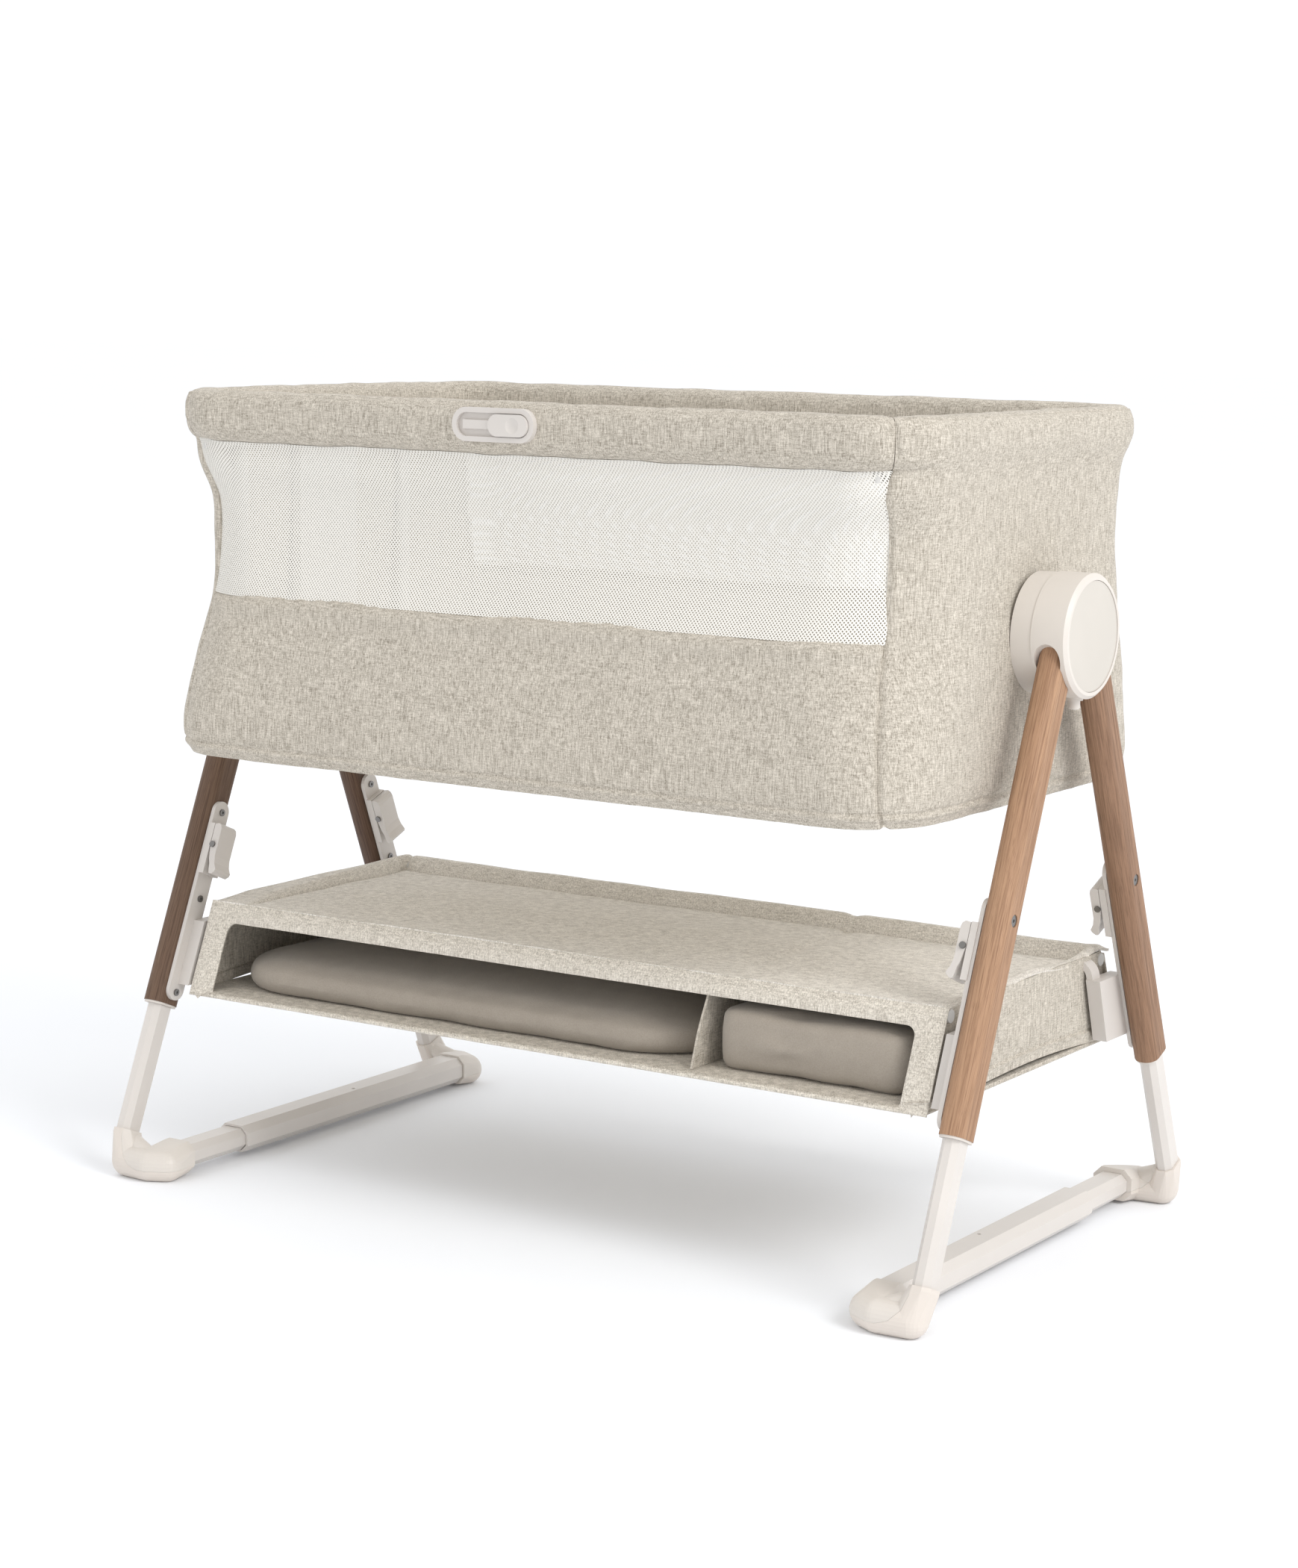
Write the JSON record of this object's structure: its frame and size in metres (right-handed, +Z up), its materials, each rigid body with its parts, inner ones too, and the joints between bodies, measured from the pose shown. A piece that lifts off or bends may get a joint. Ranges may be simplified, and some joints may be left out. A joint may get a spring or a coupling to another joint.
{
  "type": "bassinet on stand",
  "caption": "Bedside bassinet with mesh sides and a drop-down front, swinging on a telescopic A-frame stand with wood-look legs and a fabric storage shelf.",
  "frame": {"origin": "on the floor, under the middle of the crib", "axes": "+X along the crib's length, -Y towards the drop-down front, +Z up"},
  "size_m": [0.92, 0.5418, 0.764],
  "materials": {
    "wood_grain": "satin wood-look wrap on tube",
    "cream_plastic": "matte moulded",
    "grey_plastic": "matte moulded",
    "sole_rubber": "matte moulded",
    "cream_paint": "satin powder coat",
    "screw_steel": "bright zinc",
    "frame_paint": "powder coat",
    "board": "plain board",
    "mattress_fabric": "soft knit",
    "oat_fabric": "melange weave",
    "mesh_fabric": "fine diamond mesh",
    "pad_fabric": "smooth brushed"
  },
  "bodies": {
    "stand": {"leg_front_left": "wood_grain", "leg_front_right": "wood_grain", "leg_rear_left": "wood_grain", "leg_rear_right": "wood_grain", "leg_bushes": "cream_plastic", "hub_left": "cream_plastic", "hub_right": "cream_plastic", "hub_cap_left": "cream_plastic", "hub_cap_right": "cream_plastic", "bracket_front_left": "grey_plastic", "bracket_front_right": "grey_plastic", "bracket_rear_left": "grey_plastic", "bracket_rear_right": "grey_plastic", "stand_fasteners": "screw_steel", "shelf_rails": "frame_paint", "shelf_top": "oat_fabric", "shelf_basket": "oat_fabric", "shelf_divider": "oat_fabric", "storage_pad_long": "pad_fabric", "storage_pad_short": "pad_fabric"},
    "cradle": {"swing_disc_left": "cream_plastic", "swing_disc_right": "cream_plastic", "end_yokes": "frame_paint", "lower_frame": "frame_paint", "rim_rail": "frame_paint", "corner_posts": "frame_paint", "mattress_board": "board", "mattress": "mattress_fabric", "rim_cover": "oat_fabric", "end_panel_left": "oat_fabric", "end_panel_right": "oat_fabric", "mesh_rear": "mesh_fabric", "mesh_front": "mesh_fabric", "lower_panels": "oat_fabric"},
    "drop_side": {"drop_rail": "frame_paint", "drop_rail_cover": "oat_fabric", "latch_plate": "grey_plastic"},
    "latch": {"latch_slider": "grey_plastic"},
    "swing_lock_left": {"swing_button_left": "cream_plastic"},
    "swing_lock_right": {"swing_button_right": "cream_plastic"},
    "lever_front_left": {"lever_front_left": "grey_plastic"},
    "lever_front_right": {"lever_front_right": "grey_plastic"},
    "lever_rear_left": {"lever_rear_left": "grey_plastic"},
    "lever_rear_right": {"lever_rear_right": "grey_plastic"},
    "foot_front_left": {"leg_tube_front_left": "cream_paint", "elbow_front_left": "cream_plastic", "sole_front_left": "sole_rubber", "bar_tube_left": "cream_paint"},
    "foot_front_right": {"leg_tube_front_right": "cream_paint", "elbow_front_right": "cream_plastic", "sole_front_right": "sole_rubber", "bar_sleeve_right": "cream_paint"},
    "foot_rear_left": {"leg_tube_rear_left": "cream_paint", "elbow_rear_left": "cream_plastic", "sole_rear_left": "sole_rubber", "bar_sleeve_left": "cream_paint"},
    "foot_rear_right": {"leg_tube_rear_right": "cream_paint", "elbow_rear_right": "cream_plastic", "sole_rear_right": "sole_rubber", "bar_tube_right": "cream_paint"}
  },
  "joints": [
    {"name": "crib_swing", "type": "hinge", "parent": "stand", "child": "cradle", "pos_m": [0, 0, 0.57], "axis": [1, 0, 0], "range_deg": [-10, 10]},
    {"name": "side_drop", "type": "slide", "parent": "cradle", "child": "drop_side", "axis": [0, 0, -1], "range_m": [0, 0.125], "deforming": ["mesh_front"]},
    {"name": "latch_slide", "type": "slide", "parent": "drop_side", "child": "latch", "axis": [-1, 0, 0], "range_m": [0, 0.02], "stiffness_N_per_m": 150},
    {"name": "swing_button_press_left", "type": "slide", "parent": "stand", "child": "swing_lock_left", "axis": [0, 0, 1], "range_m": [0, 0.005], "stiffness_N_per_m": 300},
    {"name": "swing_button_press_right", "type": "slide", "parent": "stand", "child": "swing_lock_right", "axis": [0, 0, 1], "range_m": [0, 0.005], "stiffness_N_per_m": 300},
    {"name": "lever_front_left_squeeze", "type": "hinge", "parent": "stand", "child": "lever_front_left", "pos_m": [-0.4159, -0.13361, 0.30996], "axis": [0, 0.9239, -0.3827], "range_deg": [0, 8], "stiffness_Nm_per_rad": 0.6},
    {"name": "lever_front_right_squeeze", "type": "hinge", "parent": "stand", "child": "lever_front_right", "pos_m": [0.4159, -0.13361, 0.30996], "axis": [0, -0.9239, 0.3827], "range_deg": [0, 8], "stiffness_Nm_per_rad": 0.6},
    {"name": "lever_rear_left_squeeze", "type": "hinge", "parent": "stand", "child": "lever_rear_left", "pos_m": [-0.4159, 0.13361, 0.30996], "axis": [0, 0.9239, 0.3827], "range_deg": [0, 8], "stiffness_Nm_per_rad": 0.6},
    {"name": "lever_rear_right_squeeze", "type": "hinge", "parent": "stand", "child": "lever_rear_right", "pos_m": [0.4159, 0.13361, 0.30996], "axis": [0, -0.9239, -0.3827], "range_deg": [0, 8], "stiffness_Nm_per_rad": 0.6},
    {"name": "height_front_left", "type": "slide", "parent": "stand", "child": "foot_front_left", "axis": [0, -0.3827, -0.9239], "range_m": [-0.06, 0.09]},
    {"name": "height_front_right", "type": "slide", "parent": "stand", "child": "foot_front_right", "axis": [0, -0.3827, -0.9239], "range_m": [-0.06, 0.09]},
    {"name": "height_rear_left", "type": "slide", "parent": "stand", "child": "foot_rear_left", "axis": [0, 0.3827, -0.9239], "range_m": [-0.06, 0.09]},
    {"name": "height_rear_right", "type": "slide", "parent": "stand", "child": "foot_rear_right", "axis": [0, 0.3827, -0.9239], "range_m": [-0.06, 0.09]}
  ],
  "couplings": [
    {"joint": "height_rear_left", "follows": "height_front_left", "ratio": 1},
    {"joint": "height_rear_right", "follows": "height_front_right", "ratio": 1}
  ]
}
